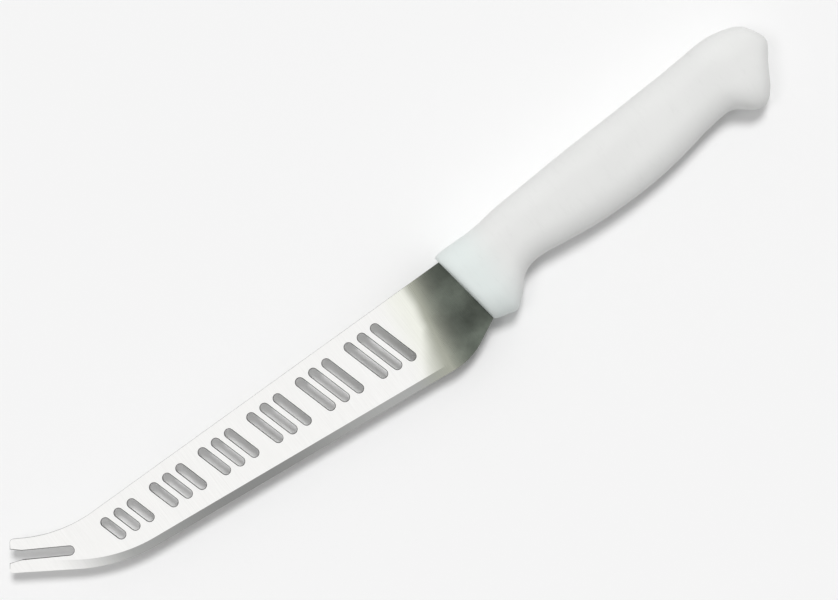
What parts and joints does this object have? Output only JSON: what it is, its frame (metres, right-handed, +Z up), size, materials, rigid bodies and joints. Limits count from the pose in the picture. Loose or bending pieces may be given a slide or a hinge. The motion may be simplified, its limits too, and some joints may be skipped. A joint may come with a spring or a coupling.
{
  "type": "cheese knife",
  "caption": "Cheese knife with a pierced steel blade, a forked, turned-up tip and a moulded white handle, lying on its side.",
  "frame": {"origin": "middle of the rectangle that the knife covers, on the plane that its side rests on", "axes": "+X from the handle's butt to the blade's tip, +Y from the spine to the cutting edge, +Z up through the thickness"},
  "size_m": [0.293, 0.0432, 0.019],
  "materials": {
    "blade_steel": "ground satin",
    "handle_plastic": "fine moulded texture"
  },
  "bodies": {
    "root": {"blade": "blade_steel", "handle": "handle_plastic"}
  },
  "joints": []
}
